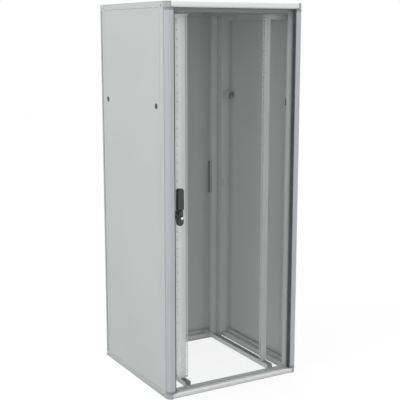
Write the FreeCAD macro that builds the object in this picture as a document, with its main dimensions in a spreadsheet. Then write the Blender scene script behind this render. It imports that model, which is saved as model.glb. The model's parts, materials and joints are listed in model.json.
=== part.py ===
"""A free-standing 42-unit equipment cabinet: welded frame, 19-inch rails, glazed front door, sheet rear door.

Millimetres, +Z up, front towards -Y, origin on the floor under the middle of the cabinet.
Every size comes from the sheet "Dims"; each sub-part is one object whose Label names its STEP file.
"""
import FreeCAD, Part
import math
import os
import Sketcher

V = FreeCAD.Vector
doc = FreeCAD.newDocument("EquipmentCabinet")

# ---------------------------------------------------------------- driving dimensions

DIMENSIONS = [
    ("cabinet_width", 800, "outside width"),
    ("cabinet_height", 2000, "outside height"),
    ("front_face", 400, "door face, forward of the middle"),
    ("frame_front", 371, "front plane of the posts, forward of the middle"),
    ("frame_back", 371, "outer face of the rear door, behind the middle"),
    ("ring_height", 30, "height of the base frame and of the roof frame"),
    ("beam_depth", 37, "width of the base and roof beams, seen from above"),
    ("wall", 2, "wall of the folded frame sections"),
    ("skin", 1.5, "sheet of the panels, the rear door and the roof"),
    ("front_post_width", 50, "front post, across the cabinet"),
    ("rear_post_width", 66, "rear post, across the cabinet"),
    ("post_depth", 40, "post, front to back"),
    ("post_round", 8, "outer corner radius of a post"),
    ("rear_post_gap", 17, "rear post behind the rear door's outer face"),
    ("flange_near", 15, "from the side to the inner face of the panel flanges"),
    ("flange_base", 22, "height of the base flange behind the panel"),
    ("flange_roof", 52, "drop of the roof flange behind the panel"),
    ("front_lintel", 19, "drop of the front roof beam below the roof frame"),
    ("depth_rail_inner", 241, "depth rail, nearest face to the middle"),
    ("depth_rail_outer", 273, "depth rail, farthest face from the middle"),
    ("depth_rail_height", 26, "height of a depth rail"),
    ("depth_rail_end", 348, "depth rail end, from the middle"),
    ("rack_rail_inner", 225, "19-inch rail flange, edge nearest to the middle"),
    ("rack_rail_outer", 271, "19-inch rail, outer face of the side flange"),
    ("rack_rail_side", 46, "19-inch rail, depth of the side flange"),
    ("rack_front", 288, "face of the front rails, forward of the middle"),
    ("rack_back", 248, "face of the rear rails, behind the middle"),
    ("rack_unit", 44.45, "one rack unit"),
    ("rack_units", 42, "number of rack units"),
    ("rack_first", 66.5, "height of the lowest unit's lower edge"),
    ("rack_hole_span", 465.1, "across the cage nut holes of a pair of rails"),
    ("cage_hole", 9.5, "side of a square cage nut hole"),
    ("mark_hole", 4, "diameter of a small hole beside the cage nut holes"),
    ("side_hole", 10, "diameter of a round hole in the side flange"),
    ("mark_out", 18, "small holes, outside the cage nut holes"),
    ("side_hole_back", 22, "round holes of the side flange, behind the rail's face"),
    ("profile_width", 42, "door profile, across the cabinet"),
    ("profile_round", 27, "outer radius of a door profile"),
    ("door_gap", 2, "from the back of the front door to the posts"),
    ("end_gap", 1, "gap above and below the doors and panels"),
    ("cap_height", 12, "height of a door profile's end cap"),
    ("glass_thick", 4, "door glass"),
    ("glass_face", 20, "glass front, behind the door face"),
    ("groove_depth", 12, "glass groove in a door profile"),
    ("groove_front_play", 2, "from the groove's front wall to the glass"),
    ("groove_back_play", 1, "from the glass to the groove's back wall"),
    ("glass_play", 1.5, "from the glass edge to the bottom of the groove"),
    ("glass_end", 2, "glass and gaskets, in from the ends of the front door"),
    ("profile_heel", 6, "radius that blends the profile's outer corner into its back"),
    ("profile_nose", 2, "radius of the profile's inner front edge"),
    ("trim_round", 9, "rounded edge of the roof and base trims"),
    ("pin_radius", 4, "door hinge pins"),
    ("running_gap", 0.06, "radial clearance of every turning fit"),
    ("front_hinge_in", 10, "front hinge axis, in from the side"),
    ("front_hinge_back", 14, "front hinge axis, behind the door face"),
    ("rear_hinge_in", 7, "rear hinge axis, in from the side"),
    ("rear_hinge_back", 7, "rear hinge axis, ahead of the door's outer face"),
    ("front_pin_plug", 16, "front hinge pin, length held in a trim cap"),
    ("front_pin_reach", 12, "front hinge pin, length in the door's end cap"),
    ("rear_pin_plug", 12, "rear hinge pin, length in the base or roof beam"),
    ("rear_pin_reach", 26, "rear hinge pin, length in the door"),
    ("rear_door_depth", 15, "rear door, sheet and folded edge together"),
    ("rear_door_bend", 1.5, "bend radius of the rear door's outer edges"),
    ("front_axis", 325, "front latch axis, left of the middle"),
    ("rear_axis", 318, "rear latch axis, right of the middle"),
    ("latch_height", 965, "height of both latch axes"),
    ("handle_width", 36, "handle housing, across"),
    ("handle_foot", 62, "handle housing below the latch axis"),
    ("handle_head", 127, "handle housing above the latch axis"),
    ("handle_shift", 3, "handle middle, right of the latch axis"),
    ("plate_thick", 8, "front handle housing, plate"),
    ("rear_plate_thick", 14, "rear handle housing, plate"),
    ("handle_depth", 20, "from the glass to the outermost point of the front handle"),
    ("rear_handle_depth", 29, "from the rear door to the outermost point of the rear handle"),
    ("lever_width", 33, "handle lever, across"),
    ("lever_thick", 10, "handle lever, thickness"),
    ("lever_neck", 18, "handle lever, across its cheeks"),
    ("handle_corner", 9, "radius of the lever's and the housing's upper corners"),
    ("spindle_radius", 5, "latch spindle"),
    ("hub_radius", 9, "latch hub, and the hole for it in a door"),
    ("barrel_right", 9, "lock barrel, right of the latch axis"),
    ("barrel_drop", 22, "lock barrel, below the latch axis"),
    ("barrel_wall", 2, "housing around the lock barrel"),
    ("barrel_proud", 6, "lock barrel, out of the housing"),
    ("lever_pin_rise", 13, "lever pin, above the latch axis"),
    ("lever_pin_radius", 1.5, "lever pin"),
    ("cam_length", 34, "reach of a latch cam"),
    ("cam_thick", 4, "thickness of a latch cam"),
    ("barrel_radius", 7, "lock barrel"),
    ("panel_front", 330, "side panel's front edge, forward of the middle"),
    ("panel_back", 313, "side panel's rear edge, behind the middle"),
    ("panel_depth", 12, "side panel, sheet and folded edge together"),
    ("lock_front", 290, "front panel locks, forward of the middle"),
    ("lock_back", 284, "rear panel locks, behind the middle"),
    ("lock_height", 1495, "height of the panel locks"),
    ("lock_radius", 15, "face of a panel lock"),
    ("lock_stem", 8, "radius of a panel lock's stem"),
    ("lock_depth", 24, "depth of a panel lock, face to cam"),
    ("lock_cam", 26, "reach of a panel lock's cam"),
    ("lock_cam_thick", 3, "thickness of a panel lock's cam"),
    ("foot_thread", 5.1, "radius of the M12 foot and lifting threads before tapping"),
    ("thread_inset", 23, "foot and lifting threads, in from the frame's front and back planes"),
    ("block_length", 22, "threaded corner block, front to back"),
    ("base_trim_drop", 2, "top of the base trim, below the top of the base frame"),
]

sheet = doc.addObject("Spreadsheet::Sheet", "Dims")
for row, (alias, value, note) in enumerate(DIMENSIONS, start=1):
    sheet.set(f"A{row}", note)
    sheet.set(f"B{row}", str(value))
    sheet.setAlias(f"B{row}", alias)
doc.recompute()


class Size:
    """A length together with the sheet formula that it comes from."""

    def __init__(self, value, formula):
        self.value = float(value)
        self.formula = formula

    def _join(self, other, sign, value):
        return Size(value, f"({self.formula} {sign} {size(other).formula})")

    def __add__(self, other):
        return self._join(other, "+", self.value + size(other).value)

    def __sub__(self, other):
        return self._join(other, "-", self.value - size(other).value)

    def __mul__(self, other):
        return self._join(other, "*", self.value * size(other).value)

    def __truediv__(self, other):
        return self._join(other, "/", self.value / size(other).value)

    def __radd__(self, other):
        return size(other) + self

    def __rsub__(self, other):
        return size(other) - self

    def __rmul__(self, other):
        return size(other) * self

    def __neg__(self):
        return size(0) - self


def size(number):
    """The number as a Size; a plain number is its own formula."""
    if isinstance(number, Size):
        return number
    return Size(number, f"{number:.6g}")


def dim(alias):
    """A cell of the sheet as a Size."""
    return Size(sheet.get(alias), f"Dims.{alias}")


def bind(target, path, number):
    """Drives one property of an object by the number's formula."""
    target.setExpression(path, size(number).formula)


# ---------------------------------------------------------------- sketching helpers

# How each origin plane carries a sketch: world axis of its normal, and the normal's direction along it.
PLANES = {"XY_Plane": 1, "XZ_Plane": -1, "YZ_Plane": 1}


def new_body(label):
    body = doc.addObject("PartDesign::Body", label)
    body.Label = label
    return body


def new_sketch(body, role, level):
    """A sketch on one of the body's own origin planes, moved along the world axis to the level."""
    sketch = body.newObject("Sketcher::SketchObject", body.Name + "_sketch")
    plane = [item for item in body.Origin.OriginFeatures if item.Role == role][0]
    sketch.AttachmentSupport = (plane, [""])
    sketch.MapMode = "FlatFace"
    bind(sketch, "AttachmentOffset.Base.z", size(level) * PLANES[role])
    return sketch


def fix_point(sketch, edge, end, place):
    """Holds one end of an edge at a place given from the sketch's origin."""
    for kind, number in zip(("DistanceX", "DistanceY"), place):
        number = size(number)
        index = sketch.addConstraint(Sketcher.Constraint(kind, -1, 1, edge, end, number.value))
        bind(sketch, f"Constraints[{index}]", number)


def arc_between(start, stop, radius, left):
    """The shorter arc between two points, bulging to the left or right of the way there, counterclockwise."""
    chord = stop - start
    half = chord.Length / 2
    side = V(-chord.y, chord.x, 0).normalize() * (1 if left else -1)
    centre = start + chord * 0.5 - side * math.sqrt(max(radius ** 2 - half ** 2, 0))
    top = centre + side * radius
    if left:
        start, stop = stop, start
    return Part.Arc(start, top, stop)


def draw_outline(sketch, items):
    """A closed outline: points as (x, y) pairs, with ("arc", radius, left) between the ends of an arc."""
    points = [item for item in items if item[0] != "arc"]
    places = [V(size(x).value, size(y).value, 0) for x, y in points]
    bends = {}
    count = 0
    for item in items:
        if item[0] == "arc":
            bends[count - 1] = item
        else:
            count += 1
    first = sketch.GeometryCount
    ends = []
    for index in range(len(points)):
        start = places[index]
        stop = places[(index + 1) % len(points)]
        if index in bends:
            radius, left = bends[index][1:]
            sketch.addGeometry(arc_between(start, stop, size(radius).value, left))
            ends.append((2, 1) if left else (1, 2))
        else:
            sketch.addGeometry(Part.LineSegment(start, stop))
            ends.append((1, 2))
    for index in range(len(points)):
        after = (index + 1) % len(points)
        sketch.addConstraint(Sketcher.Constraint(
            "Coincident", first + index, ends[index][1], first + after, ends[after][0]))
        fix_point(sketch, first + index, ends[index][0], points[index])
    for index, (_, radius, _) in bends.items():
        place = sketch.addConstraint(Sketcher.Constraint("Radius", first + index, size(radius).value))
        bind(sketch, f"Constraints[{place}]", radius)


def draw_circle(sketch, centre, radius):
    x, y = size(centre[0]), size(centre[1])
    edge = sketch.addGeometry(Part.Circle(V(x.value, y.value, 0), V(0, 0, 1), size(radius).value))
    fix_point(sketch, edge, 3, centre)
    place = sketch.addConstraint(Sketcher.Constraint("Radius", edge, size(radius).value))
    bind(sketch, f"Constraints[{place}]", radius)


def rectangle(x0, x1, y0, y1):
    return [(x0, y0), (x1, y0), (x1, y1), (x0, y1)]


def draw_all(sketch, outlines, circles):
    for outline in outlines:
        draw_outline(sketch, outline)
    for centre, radius in circles:
        draw_circle(sketch, centre, radius)


def pad(body, role, low, high, outlines=(), circles=()):
    """Material between two levels along the plane's world axis."""
    level = low if PLANES[role] > 0 else high
    sketch = new_sketch(body, role, level)
    draw_all(sketch, outlines, circles)
    feature = body.newObject("PartDesign::Pad", body.Name + "_pad")
    feature.Profile = sketch
    bind(feature, "Length", size(high) - low)
    return feature


def pocket(body, role, low, high, outlines=(), circles=()):
    """Material removed between two levels; the body has to get lighter."""
    doc.recompute()
    before = body.Shape.Volume
    level = high if PLANES[role] > 0 else low
    sketch = new_sketch(body, role, level)
    draw_all(sketch, outlines, circles)
    feature = body.newObject("PartDesign::Pocket", body.Name + "_pocket")
    feature.Profile = sketch
    bind(feature, "Length", size(high) - low)
    doc.recompute()
    if not feature.Shape.Volume < before:
        raise RuntimeError(f"{feature.Label} cuts nothing")
    return feature


def repeat_up(body, feature, step, count):
    """Repeats a feature upwards, with the vertical axis of its own sketch as the direction."""
    pattern = body.newObject("PartDesign::LinearPattern", body.Name + "_pattern")
    pattern.Originals = [feature]
    pattern.Direction = (feature.Profile[0], ["V_Axis"])
    bind(pattern, "Length", size(step) * (size(count) - 1))
    bind(pattern, "Occurrences", count)
    body.Tip = pattern
    doc.recompute()
    return pattern


# ---------------------------------------------------------------- primitive helpers

def box(name, x0, x1, y0, y1, z0, z1):
    block = doc.addObject("Part::Box", name)
    for side, low, high in (("Length", x0, x1), ("Width", y0, y1), ("Height", z0, z1)):
        bind(block, side, size(high) - low)
    for axis, low in (("x", x0), ("y", y0), ("z", z0)):
        bind(block, "Placement.Base." + axis, low)
    return block


TURNS = {
    "x": FreeCAD.Rotation(V(0, 1, 0), 90),
    "y": FreeCAD.Rotation(V(1, 0, 0), -90),
    "z": FreeCAD.Rotation(),
}


def rod(name, axis, radius, low, high, across):
    """A cylinder along a world axis from low to high; across gives its two other coordinates in order."""
    cylinder = doc.addObject("Part::Cylinder", name)
    bind(cylinder, "Radius", radius)
    bind(cylinder, "Height", size(high) - low)
    cylinder.Placement = FreeCAD.Placement(V(0, 0, 0), TURNS[axis])
    others = [letter for letter in "xyz" if letter != axis]
    bind(cylinder, "Placement.Base." + axis, low)
    for letter, number in zip(others, across):
        bind(cylinder, "Placement.Base." + letter, number)
    return cylinder


def join(label, pieces):
    fused = doc.addObject("Part::MultiFuse", label)
    fused.Shapes = pieces
    fused.Label = label
    return fused


def cut(label, base, tools):
    if len(tools) > 1:
        tools = [join(label + "_tools", tools)]
    result = doc.addObject("Part::Cut", label)
    result.Base = base
    result.Tool = tools[0]
    result.Label = label
    return result


def group(label, pieces):
    """Several separate solids of one kind, kept as one sub-part."""
    compound = doc.addObject("Part::Compound", label)
    compound.Links = pieces
    compound.Label = label
    return compound


PARTS = {}


def keep(node, body_name):
    """Notes a finished sub-part and the body that it moves with."""
    PARTS[node.Label] = (node, body_name)
    return node


def side_name(side):
    return "left" if side < 0 else "right"


# ---------------------------------------------------------------- shared levels

half_width = dim("cabinet_width") / 2
height = dim("cabinet_height")
front = -dim("front_face")
frame_front = -dim("frame_front")
frame_back = dim("frame_back")
ring = dim("ring_height")
roof_low = height - ring
beam = dim("beam_depth")
wall = dim("wall")
skin = dim("skin")
front_post_inner = half_width - dim("front_post_width")
rear_post_inner = half_width - dim("rear_post_width")
front_post_back = frame_front + dim("post_depth")
rear_post_back = frame_back - dim("rear_post_gap")
rear_post_front = rear_post_back - dim("post_depth")
beam_inner = half_width - beam
door_low = ring + dim("end_gap")
door_high = roof_low - dim("end_gap")
gap = dim("running_gap")
rear_hinge_x = dim("rear_hinge_in") - half_width
rear_hinge_y = frame_back - dim("rear_hinge_back")

# Middles of the four foot and lifting threads.
THREADS = [((half_width - beam / 2) * side, (dim("frame_front") - dim("thread_inset")) * end)
           for side in (-1, 1) for end in (-1, 1)]

# Screws in each side of the frame: (y, z) of every head, and the head's radius.
ROOF_SCREWS = ((-345, 1980), (330, 1980))
BASE_SCREWS = ((-339, 12), (344, 12))
SCREW_HEAD = 4
# Heights of the holes within one rack unit, from the 19-inch standard.
UNIT_HOLES = (6.35, 22.225, 38.1)
# A cut runs this far past a surface that it opens.
PAST = 1


# ---------------------------------------------------------------- frame

def make_post(side, front_post):
    """A closed box section with one rounded outer corner."""
    row = "front" if front_post else "rear"
    body = new_body(f"post_{row}_{side_name(side)}")
    outer = half_width * side
    inner = (front_post_inner if front_post else rear_post_inner) * side
    face = frame_front if front_post else rear_post_back
    back = front_post_back if front_post else rear_post_front
    facing = 1 if front_post else -1
    curve = dim("post_round")
    bulge_left = side * facing < 0
    pad(body, "XY_Plane", ring, roof_low, [[
        (inner, face), (outer - curve * side, face), ("arc", curve, bulge_left),
        (outer, face + curve * facing), (outer, back), (inner, back)]])
    small = curve - wall
    pocket(body, "XY_Plane", ring, roof_low, [[
        (inner + wall * side, face + wall * facing), (outer - curve * side, face + wall * facing),
        ("arc", small, bulge_left), (outer - wall * side, face + curve * facing),
        (outer - wall * side, back - wall * facing), (inner + wall * side, back - wall * facing)]])
    keep(body, "cabinet_frame")


def make_side_beam(side, at_roof):
    """A folded channel along the side, with a flange that backs the side panel."""
    row = "top" if at_roof else "base"
    body = new_body(f"{row}_beam_{side_name(side)}")
    outer = half_width * side
    inner = beam_inner * side
    curve = dim("post_round")
    low = roof_low if at_roof else size(0)
    high = height - skin if at_roof else ring
    outline = [
        (inner, frame_front), (outer - curve * side, frame_front), ("arc", curve, side < 0),
        (outer, frame_front + curve), (outer, frame_back), (inner, frame_back)]
    pad(body, "XY_Plane", low, high, [outline])
    hollow_low = low + wall if at_roof else low
    hollow_high = high if at_roof else high - wall
    pocket(body, "XY_Plane", hollow_low, hollow_high, [rectangle(
        inner + wall * side, outer - wall * side, frame_front + curve, frame_back - wall)])
    flange_in = (half_width - dim("flange_near")) * side
    flange_out = flange_in + wall * side
    flange_low = roof_low - dim("flange_roof") if at_roof else ring
    flange_high = roof_low if at_roof else ring + dim("flange_base")
    pad(body, "XY_Plane", flange_low, flange_high, [rectangle(
        flange_in, flange_out, front_post_back, rear_post_front)])
    wall_low = half_width - wall if side > 0 else -half_width
    heads = [(place, SCREW_HEAD) for place in (ROOF_SCREWS if at_roof else BASE_SCREWS)]
    pocket(body, "YZ_Plane", wall_low, wall_low + wall, circles=heads)
    if side < 0:
        face_low = low if at_roof else high - wall
        pocket(body, "XY_Plane", face_low, face_low + wall,
               circles=[((rear_hinge_x, rear_hinge_y), dim("pin_radius"))])
    keep(body, "cabinet_frame")


def make_cross_beam(front_beam, at_roof):
    """A folded channel between the side beams; the one at the front of the roof is also the door's lintel."""
    body = new_body(f"{'top' if at_roof else 'base'}_beam_{'front' if front_beam else 'rear'}")
    near = frame_front if front_beam else frame_back - beam
    far = near + beam
    low = roof_low if at_roof else size(0)
    high = height - skin if at_roof else ring
    inside = beam_inner - wall
    hollow_low = low + wall if at_roof else low
    hollow_high = high if at_roof else high - wall
    pad(body, "XY_Plane", low, high, [rectangle(-beam_inner, beam_inner, near, far)])
    if at_roof and front_beam:
        lintel_low = roof_low - dim("front_lintel")
        pad(body, "XY_Plane", lintel_low, roof_low, [
            rectangle(-front_post_inner, front_post_inner, near, far)])
        hollow_low = lintel_low + wall
        inside = front_post_inner - wall
    pocket(body, "XY_Plane", hollow_low, hollow_high, [rectangle(-inside, inside, near + wall, far - wall)])
    keep(body, "cabinet_frame")


def make_corner_blocks(at_roof):
    """Four threaded blocks inside the side beams' ends, for feet below or lifting eyes above."""
    name = "lifting_blocks" if at_roof else "foot_blocks"
    low = roof_low + wall if at_roof else size(0)
    high = height - skin if at_roof else ring - wall
    half_x = beam / 2 - wall
    half_y = dim("block_length") / 2
    blocks = []
    for x, y in THREADS:
        tag = f"{name}_{len(blocks)}"
        block = box(tag + "_block", x - half_x, x + half_x, y - half_y, y + half_y, low, high)
        hole = rod(tag + "_hole", "z", dim("foot_thread"), low, high, (x, y))
        blocks.append(cut(tag, block, [hole]))
    keep(group(name, blocks), "cabinet_frame")


def make_roof_plate():
    """The flat roof sheet, with holes over the lifting threads."""
    body = new_body("roof_plate")
    curve = dim("post_round")
    pad(body, "XY_Plane", height - skin, height, [[
        (-half_width, frame_back), (half_width, frame_back), (half_width, frame_front + curve),
        ("arc", curve, True), (half_width - curve, frame_front), (curve - half_width, frame_front),
        ("arc", curve, True), (-half_width, frame_front + curve)]])
    circles = [(place, dim("foot_thread")) for place in THREADS]
    pocket(body, "XY_Plane", height - skin, height, circles=circles)
    keep(body, "cabinet_frame")


def make_trim(at_roof):
    """The bullnosed strip across the front, above or below the door."""
    body = new_body("roof_trim_front" if at_roof else "base_trim_front")
    low = roof_low if at_roof else size(0)
    high = height if at_roof else ring - dim("base_trim_drop")
    curve = dim("trim_round")
    reach = half_width - dim("front_face") + dim("frame_front")
    pad(body, "YZ_Plane", -reach, reach, [[
        (frame_front, low), (front + curve, low), ("arc", curve, True), (front, low + curve),
        (front, high - curve), ("arc", curve, True), (front + curve, high), (frame_front, high)]])
    keep(body, "cabinet_frame")


def make_trim_caps():
    """The four quarter-round corner pieces of the trims; the right-hand ones hold the hinge pins."""
    caps = []
    big = dim("front_face") - dim("frame_front")
    for side in (-1, 1):
        edge = (half_width - big) * side
        for at_roof in (False, True):
            low = roof_low if at_roof else size(0)
            high = height if at_roof else ring - dim("base_trim_drop")
            drum = rod(f"cap_drum_{len(caps)}", "z", big, low, high, (edge, frame_front))
            low_x = edge if side > 0 else edge - big
            window = box(f"cap_window_{len(caps)}", low_x, low_x + big, front, frame_front, low, high)
            cap = doc.addObject("Part::Common", f"cap_quarter_{len(caps)}")
            cap.Base = drum
            cap.Tool = window
            if side > 0:
                pin_low = low - PAST if at_roof else ring - dim("front_pin_plug")
                pin_high = roof_low + dim("front_pin_plug") if at_roof else high + PAST
                hole = rod(f"cap_hole_{len(caps)}", "z", dim("pin_radius"), pin_low, pin_high,
                           (half_width - dim("front_hinge_in"), front + dim("front_hinge_back")))
                cap = cut(f"cap_bored_{len(caps)}", cap, [hole])
            caps.append(cap)
    keep(group("trim_corner_caps", caps), "cabinet_frame")


def make_depth_rail(side, at_roof):
    """A U-channel from the front beam to the rear beam that carries the 19-inch rails."""
    row = "top" if at_roof else "bottom"
    body = new_body(f"depth_rail_{row}_{side_name(side)}")
    inner = dim("depth_rail_inner") * side
    outer = dim("depth_rail_outer") * side
    low = roof_low - dim("depth_rail_height") if at_roof else ring
    high = low + dim("depth_rail_height")
    reach = dim("frame_front") - beam if at_roof else dim("depth_rail_end")
    web = high if at_roof else low
    web_face = high - wall if at_roof else low + wall
    lips = low if at_roof else high
    pad(body, "XZ_Plane", -reach, reach, [[
        (inner, web), (outer, web), (outer, lips), (outer - wall * side, lips),
        (outer - wall * side, web_face), (inner + wall * side, web_face),
        (inner + wall * side, lips), (inner, lips)]])
    keep(body, "cabinet_frame")


# ---------------------------------------------------------------- 19-inch rails

def make_rack_rail(side, front_rail):
    """An angle of 2 mm sheet with cage nut holes in its front flange and round holes in its side flange."""
    row = "front" if front_rail else "rear"
    body = new_body(f"rack_rail_{row}_{side_name(side)}")
    facing = 1 if front_rail else -1
    face = -dim("rack_front") if front_rail else dim("rack_back")
    inner = dim("rack_rail_inner") * side
    outer = dim("rack_rail_outer") * side
    back = face + dim("rack_rail_side") * facing
    low = ring + wall
    high = roof_low - wall
    flange_low = ring + dim("depth_rail_height") + dim("end_gap")
    flange_high = roof_low - dim("depth_rail_height") - dim("end_gap")
    side_inner = outer - wall * side
    pad(body, "XY_Plane", low, high, [rectangle(side_inner, outer, face, back)])
    pad(body, "XY_Plane", flange_low, flange_high, [rectangle(inner, outer, face, face + wall * facing)])
    doc.recompute()
    first = dim("rack_first")
    unit = dim("rack_unit")
    hole_x = dim("rack_hole_span") / 2 * side
    mark_x = (dim("rack_hole_span") / 2 + dim("mark_out")) * side
    half = dim("cage_hole") / 2
    low_y = face if front_rail else face - wall
    squares = []
    marks = []
    for step in UNIT_HOLES:
        middle = first + step
        squares.append(rectangle(hole_x - half, hole_x + half, middle - half, middle + half))
        marks.append(((mark_x, middle), dim("mark_hole") / 2))
    holes = pocket(body, "XZ_Plane", low_y, low_y + wall, squares, marks)
    repeat_up(body, holes, unit, dim("rack_units"))
    side_middle = face + dim("side_hole_back") * facing
    low_x = side_inner if side > 0 else outer
    bolts = pocket(body, "YZ_Plane", low_x, low_x + wall,
                   circles=[((side_middle, first + unit / 2), dim("side_hole") / 2)])
    repeat_up(body, bolts, unit, dim("rack_units"))
    keep(body, "cabinet_frame")


def make_rail_stays():
    """Four folded brackets that tie the rail tops to the roof beams' flanges."""
    stays = []
    low = roof_low - dim("flange_roof") + wall
    high = roof_low - dim("depth_rail_height") - dim("end_gap")
    beam_leg = 30
    rail_leg = 40
    for side in (-1, 1):
        rail_face = dim("rack_rail_outer") * side
        beam_face = (half_width - dim("flange_near")) * side
        for facing in (1, -1):
            face = -dim("rack_front") if facing > 0 else dim("rack_back")
            stay = new_body(f"rail_stay_{len(stays)}")
            pad(stay, "XY_Plane", low, high, [[
                (rail_face, face), (beam_face, face), (beam_face, face + beam_leg * facing),
                (beam_face - wall * side, face + beam_leg * facing),
                (beam_face - wall * side, face + wall * facing),
                (rail_face + wall * side, face + wall * facing),
                (rail_face + wall * side, face + rail_leg * facing),
                (rail_face, face + rail_leg * facing)]])
            stays.append(stay)
    keep(group("rail_stay_brackets", stays), "cabinet_frame")


def make_rail_bolts():
    """The heads of the screws that fix each rail to its depth rails."""
    bolts = []
    head_radius = 6
    head_height = 5
    behind = 30
    from_frame = 16
    for side in (-1, 1):
        flange_face = (dim("rack_rail_outer") - wall) * side
        low_x = flange_face - head_height if side > 0 else flange_face
        for facing in (1, -1):
            face = -dim("rack_front") if facing > 0 else dim("rack_back")
            for level in (ring + from_frame, roof_low - from_frame):
                bolts.append(rod(f"rail_bolt_{len(bolts)}", "x", head_radius, low_x, low_x + head_height,
                                 (face + behind * facing, level)))
    keep(group("rail_bolts", bolts), "cabinet_frame")


def make_corner_screws():
    """Eight screws in the sides of the base and roof frames, their heads flush in the beams' walls."""
    screws = []
    for side in (-1, 1):
        for y, z in ROOF_SCREWS + BASE_SCREWS:
            low_x = half_width - wall if side > 0 else -half_width
            screws.append(rod(f"corner_screw_{len(screws)}", "x", SCREW_HEAD, low_x, low_x + wall, (y, z)))
    keep(group("frame_corner_screws", screws), "cabinet_frame")


# ---------------------------------------------------------------- front door

profile_inner = half_width - dim("profile_width")
door_back = frame_front - dim("door_gap")
glass_front = front + dim("glass_face")
glass_back = glass_front + dim("glass_thick")
glass_edge = profile_inner + dim("groove_depth") - dim("glass_play")
glass_low = door_low + dim("glass_end")
glass_high = door_high - dim("glass_end")
groove_front = glass_front - dim("groove_front_play")
groove_back = glass_back + dim("groove_back_play")
front_hinge_x = half_width - dim("front_hinge_in")
front_hinge_y = front + dim("front_hinge_back")


def root(number):
    """Square root of a Size."""
    return Size(math.sqrt(number.value), f"sqrt({number.formula})")


# The profile's outer corner is an arc about (corner_x, corner_y); a small heel arc blends it into the back
# so that the corner stays inside the swing circle about the hinge pins.
heel = dim("profile_heel")
corner = dim("profile_round")
corner_x = half_width - corner
corner_y = front + corner
heel_reach = root((corner - heel) * (corner - heel) - heel * heel)
heel_share = corner / (corner - heel)
hollow_share = (corner - wall) / (corner - heel)


def profile_outline(side):
    """Door profile in plan: quarter-round outer corner, flat face, glass groove in the inner edge."""
    inner = profile_inner * side
    deep = (profile_inner + dim("groove_depth")) * side
    nose = dim("profile_nose")
    outward = side > 0
    return [
        ((corner_x + heel_reach) * side, door_back), ("arc", heel, outward),
        ((corner_x + heel_reach * heel_share) * side, corner_y - heel * heel_share), ("arc", corner, outward),
        (corner_x * side, front), (inner + nose * side, front), ("arc", nose, outward), (inner, front + nose),
        (inner, groove_front), (deep, groove_front), (deep, groove_back), (inner, groove_back),
        (inner, door_back)]


def profile_hollow(side):
    """The hollow of the profile, one wall in from its outline."""
    deep = (profile_inner + dim("groove_depth") + wall) * side
    inner = (profile_inner + wall) * side
    return [
        ((corner_x + heel_reach) * side, door_back - wall),
        ((corner_x + heel_reach * hollow_share) * side, corner_y - heel * hollow_share),
        ("arc", corner - wall, side > 0),
        (corner_x * side, front + wall), (inner, front + wall), (inner, groove_front - wall),
        (deep, groove_front - wall), (deep, door_back - wall)]


def make_door_profile(side):
    body = new_body(f"front_door_profile_{side_name(side)}")
    low = door_low + dim("cap_height")
    high = door_high - dim("cap_height")
    pad(body, "XY_Plane", low, high, [profile_outline(side)])
    pocket(body, "XY_Plane", low, high, [profile_hollow(side)])
    keep(body, "front_door")


def make_door_caps():
    """Solid plugs that close the profiles; the right-hand ones are bored for the hinge pins."""
    caps = []
    tall = dim("cap_height")
    for side in (-1, 1):
        for low in (door_low, door_high - tall):
            cap = new_body(f"door_cap_{len(caps)}")
            pad(cap, "XY_Plane", low, low + tall, [profile_outline(side)])
            if side > 0:
                pocket(cap, "XY_Plane", low, low + tall,
                       circles=[((front_hinge_x, front_hinge_y), dim("pin_radius") + gap)])
            caps.append(cap)
    keep(group("front_door_end_caps", caps), "front_door")


def make_glass():
    body = new_body("front_door_glass")
    pad(body, "XZ_Plane", glass_front, glass_back,
        [rectangle(-glass_edge, glass_edge, glass_low, glass_high)])
    pocket(body, "XZ_Plane", glass_front, glass_back,
           circles=[((-dim("front_axis"), dim("latch_height")), dim("hub_radius"))])
    keep(body, "front_door")


def make_gasket(side):
    """Rubber around the glass edge, with a lip over the profile's inner return."""
    body = new_body(f"front_door_gasket_{side_name(side)}")
    inner = profile_inner * side
    deep = (profile_inner + dim("groove_depth")) * side
    edge = glass_edge * side
    lip = inner - 5.5 * side
    lip_front = front + 3
    pad(body, "XY_Plane", glass_low, glass_high, [[
        (deep, groove_front), (inner, groove_front), (inner, lip_front), (lip, lip_front), (lip, glass_front),
        (edge, glass_front), (edge, glass_back), (inner, glass_back), (inner, groove_back),
        (deep, groove_back)]])
    keep(body, "front_door")


def make_hinge_pins(prefix, x, y):
    """Two upright pins, each held in the frame and standing in a door's bush."""
    name = prefix + "_door_hinge_pins"
    plug = dim(prefix + "_pin_plug")
    reach = dim(prefix + "_pin_reach")
    pins = []
    for low, high in ((ring - plug, ring + reach), (roof_low - reach, roof_low + plug)):
        pins.append(rod(f"{name}_{len(pins)}", "z", dim("pin_radius"), low, high, (x, y)))
    keep(group(name, pins), "cabinet_frame")


# ---------------------------------------------------------------- swing handles

def slab(x_mid, half, low, high, curve):
    """An upright outline with a square lower end and two rounded upper corners, in x and z."""
    return [
        (x_mid - half, low), (x_mid + half, low), (x_mid + half, high - curve), ("arc", curve, False),
        (x_mid + half - curve, high), (x_mid - half + curve, high), ("arc", curve, False),
        (x_mid - half, high - curve)]


def capsule(x_mid, half, low, high, round_low, round_high):
    """An upright outline with a half-round or square lower and upper end, in x and z."""
    items = []
    if round_low:
        items += [(x_mid - half, low + half), ("arc", half, False), (x_mid, low), ("arc", half, False),
                  (x_mid + half, low + half)]
    else:
        items += [(x_mid - half, low), (x_mid + half, low)]
    if round_high:
        items += [(x_mid + half, high - half), ("arc", half, False), (x_mid, high), ("arc", half, False),
                  (x_mid - half, high - half)]
    else:
        items += [(x_mid + half, high), (x_mid - half, high)]
    return items


# Half the width of the hub's boss between the lever's cheeks, and how far off the door the barrel's seat is.
BOSS_HALF = size(6)
BARREL_SEAT = 4


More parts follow.
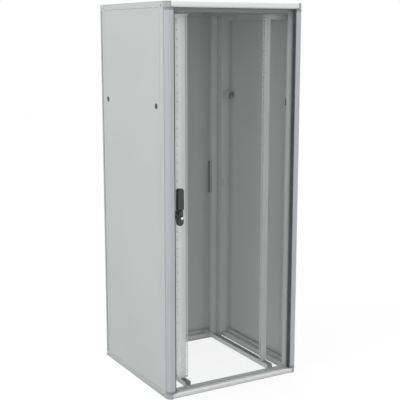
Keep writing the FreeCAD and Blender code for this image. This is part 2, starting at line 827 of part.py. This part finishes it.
class Handle:
    """The shared levels of one swing handle; out is the way out of the cabinet along Y."""

    def __init__(self, prefix, axis_x, face, out, cam_face, plate, deep):
        self.prefix = prefix
        self.door = prefix + "_door"
        self.axis_x = axis_x
        self.axis_z = dim("latch_height")
        self.middle = axis_x + dim("handle_shift")
        self.barrel_x = axis_x + dim("barrel_right")
        self.barrel_z = self.axis_z - dim("barrel_drop")
        self.face = face
        self.out = out
        self.cam_face = cam_face
        self.plate = plate
        self.deep = deep
        self.edge_side = 1 if axis_x.value > 0 else -1
        self.pin_y = face + (deep - 6) * out
        self.pin_z = self.axis_z + dim("lever_pin_rise")

    def span(self, near, far):
        """Two distances out from the door face as a low and a high Y."""
        a = self.face + near * self.out
        b = self.face + far * self.out
        return (a, b) if self.out > 0 else (b, a)


def make_housing(handle):
    """The fixed backplate, thicker below the latch axis where it holds the lock barrel."""
    low = handle.axis_z - dim("handle_foot")
    high = handle.axis_z + dim("handle_head")
    half = dim("handle_width") / 2
    edge_step = 1
    block_high = handle.barrel_z + edge_step
    block_far = handle.deep - dim("barrel_proud")
    lug_reach = 5.5
    lug_height = 20
    lug_near = handle.middle + half * handle.edge_side
    lug_far = lug_near + lug_reach * handle.edge_side
    housing = new_body(handle.prefix + "_handle_housing")
    near, far = handle.span(0, handle.plate)
    pad(housing, "XZ_Plane", near, far, [capsule(handle.middle, half, low, handle.axis_z, True, False)])
    pad(housing, "XZ_Plane", near, far,
        [slab(handle.middle, half, handle.axis_z, high, dim("handle_corner"))])
    near_lug, far_lug = handle.span(0, block_far)
    pad(housing, "XZ_Plane", near_lug, far_lug,
        [rectangle(lug_near, lug_far, handle.barrel_z, handle.barrel_z + lug_height)])
    near_block, far_block = handle.span(handle.plate, block_far)
    pad(housing, "XZ_Plane", near_block, far_block,
        [capsule(handle.middle, half - edge_step, low + edge_step, block_high, True, False)])
    pad(housing, "XZ_Plane", near_block, far_block,
        circles=[((handle.barrel_x, handle.barrel_z), dim("barrel_radius") + dim("barrel_wall"))])
    pocket(housing, "XZ_Plane", near, far,
           circles=[((handle.axis_x, handle.axis_z), dim("spindle_radius") + gap)])
    bore_low, bore_high = handle.span(BARREL_SEAT, block_far)
    pocket(housing, "XZ_Plane", bore_low, bore_high,
           circles=[((handle.barrel_x, handle.barrel_z), dim("barrel_radius") + gap)])
    keep(housing, handle.door)


def make_spindle(handle):
    """The turning hub, its boss for the lever pin, and the shaft that goes through the door to the cam."""
    hub_top = 17.5
    hub_near, hub_far = handle.span(handle.plate + 0.4, handle.deep - 1)
    hub = new_body(handle.prefix + "_latch_spindle")
    pad(hub, "XZ_Plane", hub_near, hub_far, circles=[((handle.axis_x, handle.axis_z), dim("hub_radius"))])
    pad(hub, "XZ_Plane", hub_near, hub_far, [rectangle(
        handle.middle - BOSS_HALF, handle.middle + BOSS_HALF, handle.axis_z, handle.axis_z + hub_top)])
    if handle.out > 0:
        shaft_low, shaft_high = handle.cam_face - dim("cam_thick"), hub_near
    else:
        shaft_low, shaft_high = hub_far, handle.cam_face + dim("cam_thick")
    pad(hub, "XZ_Plane", shaft_low, shaft_high,
        circles=[((handle.axis_x, handle.axis_z), dim("spindle_radius"))])
    pocket(hub, "YZ_Plane", handle.middle - BOSS_HALF, handle.middle + BOSS_HALF,
           circles=[((handle.pin_y, handle.pin_z), dim("lever_pin_radius") + gap)])
    keep(hub, handle.prefix + "_latch")


def make_cam(handle):
    """The flat cam on the shaft's inner end, hanging down in the released position."""
    half = size(5.5)
    cam = new_body(handle.prefix + "_latch_cam")
    low = handle.cam_face - dim("cam_thick") if handle.out > 0 else handle.cam_face
    pad(cam, "XZ_Plane", low, low + dim("cam_thick"),
        [capsule(handle.axis_x, half, handle.axis_z - dim("cam_length"), handle.axis_z + half, True, True)],
        circles=[((handle.axis_x, handle.axis_z), dim("spindle_radius"))])
    keep(cam, handle.prefix + "_latch")


def make_lever(handle):
    """The flat grip with two cheeks that hold its pin, one on each side of the hub's boss."""
    half = dim("lever_width") / 2
    neck = dim("lever_neck") / 2
    cheek = BOSS_HALF + 0.3
    eye = 4.5
    grip_low = handle.axis_z + 22
    grip_high = handle.axis_z + dim("handle_head") - 2
    cheek_high = grip_low + 0.5
    outermost = handle.deep - 0.5
    lever = new_body(handle.prefix + "_handle_lever")
    near, far = handle.span(outermost - dim("lever_thick"), outermost)
    pad(lever, "XZ_Plane", near, far,
        [slab(handle.middle, half, grip_low, grip_high, dim("handle_corner"))])
    for low_x, high_x in ((-neck, -cheek), (cheek, neck)):
        pad(lever, "YZ_Plane", handle.middle + low_x, handle.middle + high_x, [
            [(handle.pin_y - eye, handle.pin_z), ("arc", eye, False), (handle.pin_y, handle.pin_z - eye),
             ("arc", eye, False), (handle.pin_y + eye, handle.pin_z), (handle.pin_y + eye, cheek_high),
             (handle.pin_y - eye, cheek_high)]])
    pocket(lever, "YZ_Plane", handle.middle - neck, handle.middle + neck,
           circles=[((handle.pin_y, handle.pin_z), dim("lever_pin_radius"))])
    keep(lever, handle.prefix + "_lever")

    pin = rod(handle.prefix + "_lever_pin", "x", dim("lever_pin_radius"), handle.middle - neck,
              handle.middle + neck, (handle.pin_y, handle.pin_z))
    keep(pin, handle.prefix + "_lever")


def make_barrel(handle):
    """The lock's turning barrel with its keyway, standing a little proud of the housing."""
    slot_half = 0.8
    slot_reach = 4
    slot_depth = 5
    barrel = new_body(handle.prefix + "_lock_barrel")
    low, high = handle.span(BARREL_SEAT, handle.deep)
    pad(barrel, "XZ_Plane", low, high, circles=[((handle.barrel_x, handle.barrel_z), dim("barrel_radius"))])
    slot_low, slot_high = handle.span(handle.deep - slot_depth, handle.deep)
    pocket(barrel, "XZ_Plane", slot_low, slot_high, [rectangle(
        handle.barrel_x - slot_half, handle.barrel_x + slot_half,
        handle.barrel_z - slot_reach, handle.barrel_z + slot_reach)])
    keep(barrel, handle.prefix + "_lock")


# Half the height of a keeper, its thickness, and the distance from the posts to the latch cams behind it.
KEEPER_HALF = 22
KEEPER_THICK = 2.5
CAM_CLEAR = 3


def make_latch_keepers():
    """Hardened strips on the posts' inner sides, where the latch cams bear."""
    z_low = dim("latch_height") - KEEPER_HALF
    z_high = dim("latch_height") + KEEPER_HALF
    edge_step = 2
    across = 20
    front_near = front_post_inner + edge_step
    keep_front = box("front_latch_keeper", -front_near - across, -front_near,
                     front_post_back, front_post_back + KEEPER_THICK, z_low, z_high)
    keep(keep_front, "cabinet_frame")
    rear_near = rear_post_inner + edge_step
    keep_rear = box("rear_latch_keeper", rear_near, rear_near + across,
                    rear_post_front - KEEPER_THICK, rear_post_front, z_low, z_high)
    keep(keep_rear, "cabinet_frame")


# ---------------------------------------------------------------- rear door

def make_rear_door():
    """A folded sheet pan, its edges turned in towards the cabinet and back along the posts."""
    body = new_body("rear_door_panel")
    edge = half_width
    curve = size(4)
    bend = dim("rear_door_bend")
    hinge_block = 16
    hinge_lip = 36
    latch_lip = 22
    end_lip = 20
    bush = dim("rear_pin_reach") + 4
    inner_face = frame_back - dim("rear_door_depth")
    pad(body, "XY_Plane", door_low, door_high, [[
        (-edge, inner_face + curve), ("arc", curve, False), (curve - edge, inner_face),
        (edge - curve, inner_face), ("arc", curve, False), (edge, inner_face + curve),
        (edge, frame_back - bend), ("arc", bend, False), (edge - bend, frame_back),
        (bend - edge, frame_back), ("arc", bend, False), (-edge, frame_back - bend)]])
    pocket(body, "XZ_Plane", inner_face + skin, frame_back - skin,
           [rectangle(hinge_block - edge, edge - skin, door_low + skin, door_high - skin)])
    pocket(body, "XZ_Plane", inner_face, inner_face + skin,
           [rectangle(hinge_lip - edge, edge - latch_lip, door_low + end_lip, door_high - end_lip)])
    pin_hole = [((rear_hinge_x, rear_hinge_y), dim("pin_radius") + gap)]
    pocket(body, "XY_Plane", door_low, door_low + bush, circles=pin_hole)
    pocket(body, "XY_Plane", door_high - bush, door_high, circles=pin_hole)
    pocket(body, "XZ_Plane", frame_back - skin, frame_back,
           circles=[((dim("rear_axis"), dim("latch_height")), dim("hub_radius"))])
    keep(body, "rear_door")


def make_rear_lock_case():
    """The closed gearbox behind the rear handle, on the inner face of the door sheet."""
    body = new_body("rear_lock_case")
    inner = dim("rear_axis") - 37
    outer = dim("rear_axis") + 7
    low = dim("latch_height") - 57
    high = dim("latch_height") + 130
    face = frame_back - 22
    pad(body, "XZ_Plane", face, frame_back - skin, [rectangle(inner, outer, low, high)])
    pocket(body, "XZ_Plane", face, frame_back - skin,
           circles=[((dim("rear_axis"), dim("latch_height")), dim("spindle_radius") + gap)])
    keep(body, "rear_door")


# ---------------------------------------------------------------- side panels

def make_side_panel(side):
    """A lift-off sheet pan between the posts, with two holes for its quarter-turn locks."""
    body = new_body(f"side_panel_{side_name(side)}")
    outer = half_width * side
    deep = (half_width - dim("panel_depth")) * side
    low_x, high_x = (outer, deep) if side < 0 else (deep, outer)
    pad(body, "YZ_Plane", low_x, high_x,
        [rectangle(-dim("panel_front"), dim("panel_back"), door_low, door_high)])
    inside_low, inside_high = (outer + skin, deep) if side < 0 else (deep, outer - skin)
    pocket(body, "YZ_Plane", inside_low, inside_high,
           [rectangle(skin - dim("panel_front"), dim("panel_back") - skin,
                      door_low + skin, door_high - skin)])
    sheet_low, sheet_high = (outer, outer + skin) if side < 0 else (outer - skin, outer)
    pocket(body, "YZ_Plane", sheet_low, sheet_high, circles=[
        ((-dim("lock_front"), dim("lock_height")), dim("lock_radius") + gap),
        ((dim("lock_back"), dim("lock_height")), dim("lock_radius") + gap)])
    keep(body, f"side_panel_{side_name(side)}")


def make_panel_lock(side, front_lock):
    """A quarter-turn lock: slotted face flush with the panel, stem, and a cam behind it."""
    row = "front" if front_lock else "rear"
    y = -dim("lock_front") if front_lock else dim("lock_back")
    z = dim("lock_height")
    body = new_body(f"panel_lock_{row}_{side_name(side)}")
    outer = half_width * side
    sheet_back = outer - skin * side
    stem_end = outer - dim("lock_depth") * side
    cam_back = stem_end + dim("lock_cam_thick") * side
    slot_depth = 1
    slot_half = 1.5
    slot_reach = 9
    cam_half = dim("lock_stem")
    cam_tail = 10

    def levels(inside, outside):
        return (inside, outside) if side > 0 else (outside, inside)

    pad(body, "YZ_Plane", *levels(sheet_back, outer), circles=[((y, z), dim("lock_radius"))])
    pad(body, "YZ_Plane", *levels(stem_end, sheet_back), circles=[((y, z), dim("lock_stem"))])
    pad(body, "YZ_Plane", *levels(stem_end, cam_back),
        [rectangle(y - cam_half, y + cam_half, z - dim("lock_cam"), z + cam_tail)])
    pocket(body, "YZ_Plane", *levels(outer - slot_depth * side, outer),
           [rectangle(y - slot_half, y + slot_half, z - slot_reach, z + slot_reach)])
    keep(body, f"panel_lock_{row}_{side_name(side)}")


def make_panel_keepers():
    """Four angles on the posts, behind which the panel locks' cams turn."""
    keepers = []
    low = dim("lock_height") - KEEPER_HALF
    high = dim("lock_height") + KEEPER_HALF
    blade = 20
    for side in (-1, 1):
        catch = (half_width - 20) * side
        foot = (half_width - 50) * side
        for facing in (1, -1):
            post_face = front_post_back if facing > 0 else rear_post_front
            keeper = new_body(f"panel_keeper_{len(keepers)}")
            pad(keeper, "XY_Plane", low, high, [[
                (foot, post_face), (catch + wall * side, post_face),
                (catch + wall * side, post_face + blade * facing), (catch, post_face + blade * facing),
                (catch, post_face + wall * facing), (foot, post_face + wall * facing)]])
            keepers.append(keeper)
    keep(group("panel_lock_keepers", keepers), "cabinet_frame")


# ---------------------------------------------------------------- the whole cabinet

for side in (-1, 1):
    for front_row in (True, False):
        make_post(side, front_row)
        make_rack_rail(side, front_row)
        make_panel_lock(side, front_row)
    for at_roof in (False, True):
        make_side_beam(side, at_roof)
        make_depth_rail(side, at_roof)
    make_door_profile(side)
    make_gasket(side)
    make_side_panel(side)
for at_roof in (False, True):
    make_corner_blocks(at_roof)
    make_trim(at_roof)
    for front_beam in (True, False):
        make_cross_beam(front_beam, at_roof)
make_roof_plate()
make_trim_caps()
make_rail_stays()
make_rail_bolts()
make_corner_screws()
make_panel_keepers()
make_door_caps()
make_glass()
make_hinge_pins("front", front_hinge_x, front_hinge_y)
make_rear_door()
make_rear_lock_case()
make_hinge_pins("rear", rear_hinge_x, rear_hinge_y)
make_latch_keepers()
for handle in (
        Handle("front", -dim("front_axis"), glass_front, -1, front_post_back + CAM_CLEAR,
               dim("plate_thick"), dim("handle_depth")),
        Handle("rear", dim("rear_axis"), frame_back, 1, rear_post_front - CAM_CLEAR,
               dim("rear_plate_thick"), dim("rear_handle_depth"))):
    make_housing(handle)
    make_spindle(handle)
    make_cam(handle)
    make_lever(handle)
    make_barrel(handle)

doc.recompute()

for item in doc.Objects:
    if "Invalid" in item.State or "Error" in item.State:
        raise RuntimeError(f"{item.Label} failed: {item.State}")
os.makedirs("parts", exist_ok=True)
for label, (node, body_name) in PARTS.items():
    shape = node.Shape
    if shape.isNull() or not shape.isValid() or not shape.Solids:
        raise RuntimeError(f"{label} has no valid solid")
    shape.exportStep(f"parts/{label}.step")
print(len(PARTS), "sub-parts written")
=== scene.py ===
"""Looks of the equipment cabinet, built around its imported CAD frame. Metres, +Z up, front towards -Y."""
import json
import math

import bpy
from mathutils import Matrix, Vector

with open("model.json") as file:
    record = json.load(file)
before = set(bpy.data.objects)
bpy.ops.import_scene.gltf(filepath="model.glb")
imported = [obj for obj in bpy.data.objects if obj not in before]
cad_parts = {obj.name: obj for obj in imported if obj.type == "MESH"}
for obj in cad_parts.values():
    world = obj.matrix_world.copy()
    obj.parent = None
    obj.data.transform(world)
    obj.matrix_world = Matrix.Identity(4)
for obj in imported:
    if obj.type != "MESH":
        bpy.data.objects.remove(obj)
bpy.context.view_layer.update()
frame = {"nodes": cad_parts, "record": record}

NODES = frame["nodes"]
SLOT_OF = {row["node"]: row["material_slot"] for row in frame["record"]["subparts"]}

# ---------------------------------------------------------------- materials


class Recipe:
    """A node material: one Principled shader and short calls for what feeds it."""

    def __init__(self, name, **sockets):
        self.material = bpy.data.materials.new(name)
        self.material.use_nodes = True
        self.tree = self.material.node_tree
        self.shader = self.tree.nodes["Principled BSDF"]
        for label, value in sockets.items():
            self.shader.inputs[label.replace("_", " ")].default_value = value
        self.place = self.tree.nodes.new("ShaderNodeTexCoord").outputs["Object"]

    def add(self, kind, **values):
        node = self.tree.nodes.new("ShaderNode" + kind)
        for label, value in values.items():
            setattr(node, label, value)
        return node

    def link(self, source, target):
        self.tree.links.new(source, target)

    def stretched(self, x, y, z):
        """The object's own coordinates, scaled along each axis."""
        node = self.add("Mapping")
        node.inputs["Scale"].default_value = (x, y, z)
        self.link(self.place, node.inputs["Vector"])
        return node.outputs["Vector"]

    def noise(self, scale, detail=2.0, roughness=0.5, place=None):
        node = self.add("TexNoise")
        node.inputs["Scale"].default_value = scale
        node.inputs["Detail"].default_value = detail
        node.inputs["Roughness"].default_value = roughness
        self.link(place or self.place, node.inputs["Vector"])
        return node.outputs["Fac"]

    def ramp(self, factor, low, high, start=0.3, stop=0.7):
        """Colours or greys from low to high as the factor goes from start to stop."""
        node = self.add("ValToRGB")
        for element, place, value in zip(node.color_ramp.elements, (start, stop), (low, high)):
            element.position = place
            element.color = (*value, 1) if hasattr(value, "__len__") else (value, value, value, 1)
        self.link(factor, node.inputs["Fac"])
        return node.outputs["Color"]

    def blend(self, factor, a, b, mode="MIX"):
        node = self.add("Mix", data_type="RGBA", blend_type=mode)
        for index, value in ((0, factor), (6, a), (7, b)):
            if isinstance(value, bpy.types.NodeSocket):
                self.link(value, node.inputs[index])
            else:
                node.inputs[index].default_value = value
        return node.outputs[2]

    def painted_crease_shade(self, reach, depth):
        """Painted shade: a grey multiplier that falls to depth where surfaces meet within reach metres."""
        node = self.add("AmbientOcclusion", samples=4)
        node.inputs["Distance"].default_value = reach
        return self.ramp(node.outputs["AO"], depth, 1.0, 0.25, 0.85)

    def bump(self, *layers):
        """Relief from (height, distance in metres) layers, one over the other."""
        normal = None
        for height, distance in layers:
            node = self.add("Bump")
            node.inputs["Distance"].default_value = distance
            node.inputs["Strength"].default_value = 1.0
            self.link(height, node.inputs["Height"])
            if normal is not None:
                self.link(normal, node.inputs["Normal"])
            normal = node.outputs["Normal"]
        self.link(normal, self.shader.inputs["Normal"])

    def colour(self, socket):
        self.link(socket, self.shader.inputs["Base Color"])

    def roughness(self, socket):
        self.link(socket, self.shader.inputs["Roughness"])


def shade(colour, factor):
    return tuple(channel * factor for channel in colour)


def powder_coat(name, colour, gloss=0.42, peel=1.0):
    """Baked powder paint: fine orange peel, a faint cloudiness, uneven gloss, and painted shade where
    surfaces meet.
    """
    recipe = Recipe(name, Metallic=0.0, Specular_IOR_Level=0.45)
    cloud = recipe.ramp(recipe.noise(2.2, 3), shade(colour, 0.975), shade(colour, 1.02))
    grain = recipe.ramp(recipe.noise(1400, 2), 0.965, 1.0, 0.35, 0.65)
    coat = recipe.blend(1.0, cloud, grain, "MULTIPLY")
    # Painted shade where surfaces meet, multiplied into the coat's colour.
    recipe.colour(recipe.blend(1.0, coat, recipe.painted_crease_shade(0.05, 0.55), "MULTIPLY"))
    recipe.roughness(recipe.ramp(recipe.noise(60, 4), gloss - 0.04, gloss + 0.05))
    recipe.bump((recipe.noise(620, 2), 0.00010 * peel), (recipe.noise(2600, 1), 0.00003 * peel))
    return recipe.material


def zinc_sheet(name, colour):
    """Zinc-plated sheet: rolled streaks along the depth, dull spangle patches."""
    recipe = Recipe(name, Metallic=0.65)
    streak = recipe.noise(90, 3, place=recipe.stretched(9, 0.7, 9))
    patches = recipe.noise(38, 5)
    base = recipe.ramp(streak, shade(colour, 0.92), shade(colour, 1.05))
    recipe.colour(recipe.blend(0.35, base, recipe.ramp(patches, shade(colour, 0.86), shade(colour, 1.1))))
    recipe.roughness(recipe.ramp(patches, 0.38, 0.56))
    recipe.bump((streak, 0.00003), (recipe.noise(900, 2), 0.00002))
    return recipe.material


def bright_metal(name, colour, rough, turned=False):
    """Plated hardware with fine turning or rolling marks."""
    recipe = Recipe(name, Metallic=1.0)
    place = recipe.stretched(1, 1, 30) if turned else recipe.stretched(12, 12, 1)
    marks = recipe.noise(160, 3, place=place)
    recipe.colour(recipe.ramp(marks, shade(colour, 0.9), shade(colour, 1.04)))
    recipe.roughness(recipe.ramp(marks, rough, rough + 0.12))
    recipe.bump((marks, 0.00002))
    return recipe.material


def moulded_plastic(name, colour, rough):
    """Injection moulding: spark-eroded grain and a touch of handling shine."""
    recipe = Recipe(name, Metallic=0.0)
    cells = recipe.add("TexVoronoi", feature="SMOOTH_F1")
    cells.inputs["Scale"].default_value = 1500
    recipe.link(recipe.place, cells.inputs["Vector"])
    worn = recipe.noise(26, 4)
    recipe.colour(recipe.ramp(recipe.noise(300, 3), shade(colour, 0.88), shade(colour, 1.12)))
    recipe.roughness(recipe.ramp(worn, rough - 0.07, rough + 0.07))
    recipe.bump((cells.outputs["Distance"], 0.00008), (recipe.noise(420, 2), 0.00004))
    return recipe.material


def rubber(name, colour):
    """Extruded rubber: faint lengthwise drawing lines and a dusty bloom."""
    recipe = Recipe(name, Metallic=0.0)
    lines = recipe.noise(420, 2, place=recipe.stretched(4, 4, 0.05))
    bloom = recipe.noise(45, 5)
    recipe.colour(recipe.ramp(bloom, colour, shade(colour, 1.7), 0.45, 0.8))
    recipe.roughness(recipe.ramp(lines, 0.62, 0.82))
    recipe.bump((lines, 0.00008))
    return recipe.material


def clear_glass(name, tint):
    """Coated float glass with a faint painted sheen in its tint; shadow and diffuse rays go straight
    through it.
    """
    recipe = Recipe(name, Metallic=0.0, Transmission_Weight=1.0, Roughness=0.0, IOR=1.45)
    recipe.shader.inputs["Specular IOR Level"].default_value = 0.06
    # Painted sheen: the tint dims slightly in long upright streaks.
    sheen = recipe.noise(3, 3, place=recipe.stretched(1, 1, 0.4))
    recipe.colour(recipe.ramp(sheen, shade(tint, 0.995), tint, 0.35, 0.65))
    clear = recipe.add("BsdfTransparent")
    clear.inputs["Color"].default_value = (*shade(tint, 0.98), 1)
    path = recipe.add("LightPath")
    straight = recipe.add("Math", operation="MAXIMUM")
    recipe.link(path.outputs["Is Shadow Ray"], straight.inputs[0])
    recipe.link(path.outputs["Is Diffuse Ray"], straight.inputs[1])
    mix = recipe.add("MixShader")
    recipe.link(straight.outputs["Value"], mix.inputs["Fac"])
    recipe.link(recipe.shader.outputs["BSDF"], mix.inputs[1])
    recipe.link(clear.outputs["BSDF"], mix.inputs[2])
    recipe.link(mix.outputs["Shader"], recipe.tree.nodes["Material Output"].inputs["Surface"])
    return recipe.material


PAINT = (0.560, 0.590, 0.580)
MATERIALS = {
    "painted_steel": powder_coat("powder_coat_grey", PAINT),
    "trim_profile": powder_coat("profile_coat_grey", (0.52, 0.55, 0.575), 0.34, 0.5),
    "rail_steel": powder_coat("rail_coat_grey", (0.52, 0.53, 0.525), 0.40, 0.6),
    "zinc_steel": zinc_sheet("zinc_sheet", (0.50, 0.52, 0.52)),
    "grey_plastic": moulded_plastic("grey_moulding", (0.30, 0.32, 0.32), 0.52),
    "rubber": rubber("black_rubber", (0.080, 0.084, 0.084)),
    "glass": clear_glass("door_glass", (0.985, 0.992, 0.988)),
    "black_plastic": moulded_plastic("black_moulding", (0.040, 0.040, 0.042), 0.42),
    "bolt_steel": bright_metal("zinc_hardware", (0.62, 0.62, 0.63), 0.24),
    "chrome": bright_metal("nickel_barrel", (0.82, 0.82, 0.83), 0.10, True),
    # Painted highlight: the front trims are coated near white for the light that falls on their rounded
    # fronts.
    "trim_painted_highlight": powder_coat("trim_painted_highlight_coat", (0.93, 0.94, 0.94), 0.30, 0.4),
    # Painted shade: the rear door is coated a fifth darker for the shade inside the cabinet.
    "rear_door_painted_shade": powder_coat("rear_door_painted_shade", shade(PAINT, 0.80)),
    # Painted shade: the top front beam is coated dark grey for the shade under the roof trim.
    "top_beam_painted_shade": powder_coat("top_beam_painted_shade_coat", (0.30, 0.31, 0.305)),
    "cap_plastic": moulded_plastic("cap_moulding", (0.42, 0.44, 0.44), 0.50),
    "dark_screws": bright_metal("black_oxide", (0.05, 0.05, 0.055), 0.35, True),
}

# Nodes whose coat differs from the rest of their slot.
OWN_COAT = {
    # Painted shade on the top front beam's coat.
    "top_beam_front": "top_beam_painted_shade",
    # Painted shade on the rear door's coat.
    "rear_door_panel": "rear_door_painted_shade",
    "trim_corner_caps": "cap_plastic",
    "front_latch_spindle": "black_plastic",
    "rear_latch_spindle": "black_plastic",
    # Painted highlight on the roof and base trims.
    "roof_trim_front": "trim_painted_highlight",
    "base_trim_front": "trim_painted_highlight",
}

# Moulded and turned pieces have softer edges than folded sheet: (radius in metres, steps round it).
SHEET_EDGE = (0.0006, 2)
FLAT_WITHIN = math.radians(0.5)
EDGE_ABOVE = math.radians(35)
OWN_EDGE = {
    "front_handle_housing": (0.0025, 4),
    "front_handle_lever": (0.0030, 4),
    "rear_handle_housing": (0.0025, 4),
    "rear_handle_lever": (0.0030, 4),
    "front_lock_barrel": (0.0010, 3),
    "rear_lock_barrel": (0.0010, 3),
    "trim_corner_caps": (0.0015, 3),
}

# ---------------------------------------------------------------- CAD nodes


def dress(node, piece):
    """Gives a CAD node its material, and edges that catch the light."""
    piece.data.materials.clear()
    piece.data.materials.append(MATERIALS[OWN_COAT.get(node, SLOT_OF[node])])
    for polygon in piece.data.polygons:
        polygon.use_smooth = False
    flat = piece.modifiers.new("merge_flats", "DECIMATE")
    flat.decimate_type = "DISSOLVE"
    flat.angle_limit = FLAT_WITHIN
    edge = piece.modifiers.new("rolled_edges", "BEVEL")
    edge.width, edge.segments = OWN_EDGE.get(node, SHEET_EDGE)
    edge.limit_method = "ANGLE"
    edge.angle_limit = EDGE_ABOVE
    edge.harden_normals = True


for name, piece in NODES.items():
    dress(name, piece)

# ---------------------------------------------------------------- studio

# Brightness of the floor and of the surrounding white, as seen and as they light the cabinet.
FLOOR_SEEN = 0.84
FLOOR_CAST = 0.18
SKY_SEEN = 1.0
SKY_CAST = 0.80

FLOOR_SIZE = 60
SOFTBOX = (3, 3)
STRIP = (0.02, 1.9)
STRIP_SPREAD = math.radians(70)

CAMERA_PLACE = (-2.4065, -4.2346, 1.8491)
CAMERA_TURN = math.radians(29.755)
CAMERA_TILT = math.radians(-10.541)
CAMERA_LENS_MM = 80.74


def make_floor():
    """A back-lit white sheet: it looks evenly bright, and throws only part of that light on the cabinet."""
    bpy.ops.mesh.primitive_plane_add(size=FLOOR_SIZE)
    floor = bpy.context.object
    floor.name = "studio_floor"
    recipe = Recipe("studio_floor", Metallic=0.0, Roughness=0.9)
    recipe.shader.inputs["Specular IOR Level"].default_value = 0.0
    recipe.shader.inputs["Emission Color"].default_value = (1, 1, 1, 1)
    recipe.colour(recipe.ramp(recipe.noise(0.4, 2), 0.19, 0.20))
    path = recipe.add("LightPath")
    glow = recipe.add("MapRange")
    glow.inputs["To Min"].default_value = FLOOR_SEEN
    glow.inputs["To Max"].default_value = FLOOR_CAST
    recipe.link(path.outputs["Is Diffuse Ray"], glow.inputs["Value"])
    recipe.link(glow.outputs["Result"], recipe.shader.inputs["Emission Strength"])
    floor.data.materials.append(recipe.material)


def make_light(name, place, aim, size, power):
    data = bpy.data.lights.new(name, "AREA")
    data.shape = "RECTANGLE"
    data.size, data.size_y = size
    data.energy = power
    lamp = bpy.data.objects.new(name, data)
    bpy.context.scene.collection.objects.link(lamp)
    lamp.location = place
    lamp.rotation_euler = (Vector(aim) - Vector(place)).to_track_quat("-Z", "Y").to_euler()
    return lamp


def make_rail_light(name, place, aim, power):
    """A strip lamp beside the front left post, unseen by the camera, for the rail next to it."""
    lamp = make_light(name, place, aim, STRIP, power)
    lamp.data.spread = STRIP_SPREAD
    lamp.visible_camera = False
    lamp.visible_glossy = False


def make_world():
    """White all round: full white where it is seen, softer where it lights the cabinet."""
    world = bpy.data.worlds.new("studio")
    world.use_nodes = True
    tree = world.node_tree
    background = tree.nodes["Background"]
    background.inputs["Color"].default_value = (1.0, 1.0, 1.0, 1)
    path = tree.nodes.new("ShaderNodeLightPath")
    level = tree.nodes.new("ShaderNodeMapRange")
    level.inputs["To Min"].default_value = SKY_SEEN
    level.inputs["To Max"].default_value = SKY_CAST
    tree.links.new(path.outputs["Is Diffuse Ray"], level.inputs["Value"])
    tree.links.new(level.outputs["Result"], background.inputs["Strength"])
    bpy.context.scene.world = world


def make_camera():
    """A long lens in front of the left corner, a little below the height of the cabinet's top."""
    level = math.cos(CAMERA_TILT)
    look = Vector((math.sin(CAMERA_TURN) * level, math.cos(CAMERA_TURN) * level, math.sin(CAMERA_TILT)))
    data = bpy.data.cameras.new("camera")
    data.lens = CAMERA_LENS_MM
    data.sensor_width = 36
    data.clip_end = 200
    camera = bpy.data.objects.new("camera", data)
    bpy.context.scene.collection.objects.link(camera)
    camera.location = CAMERA_PLACE
    camera.rotation_euler = look.to_track_quat("-Z", "Y").to_euler()
    bpy.context.scene.camera = camera


make_floor()
make_world()
make_light("front_fill", (-1.2, -5.0, 2.4), (0, 0, 0.8), SOFTBOX, 22)
make_light("key_left", (-5.0, -0.6, 4.2), (0, 0, 1.7), SOFTBOX, 80)
make_rail_light("rail_side_strip", (-0.380, -0.300, 1.0), (-0.271, -0.262, 1.0), 0.30)
make_rail_light("rail_face_strip", (-0.342, -0.350, 1.0), (-0.245, -0.288, 1.0), 0.25)
make_camera()
bpy.context.scene.view_settings.view_transform = "Standard"
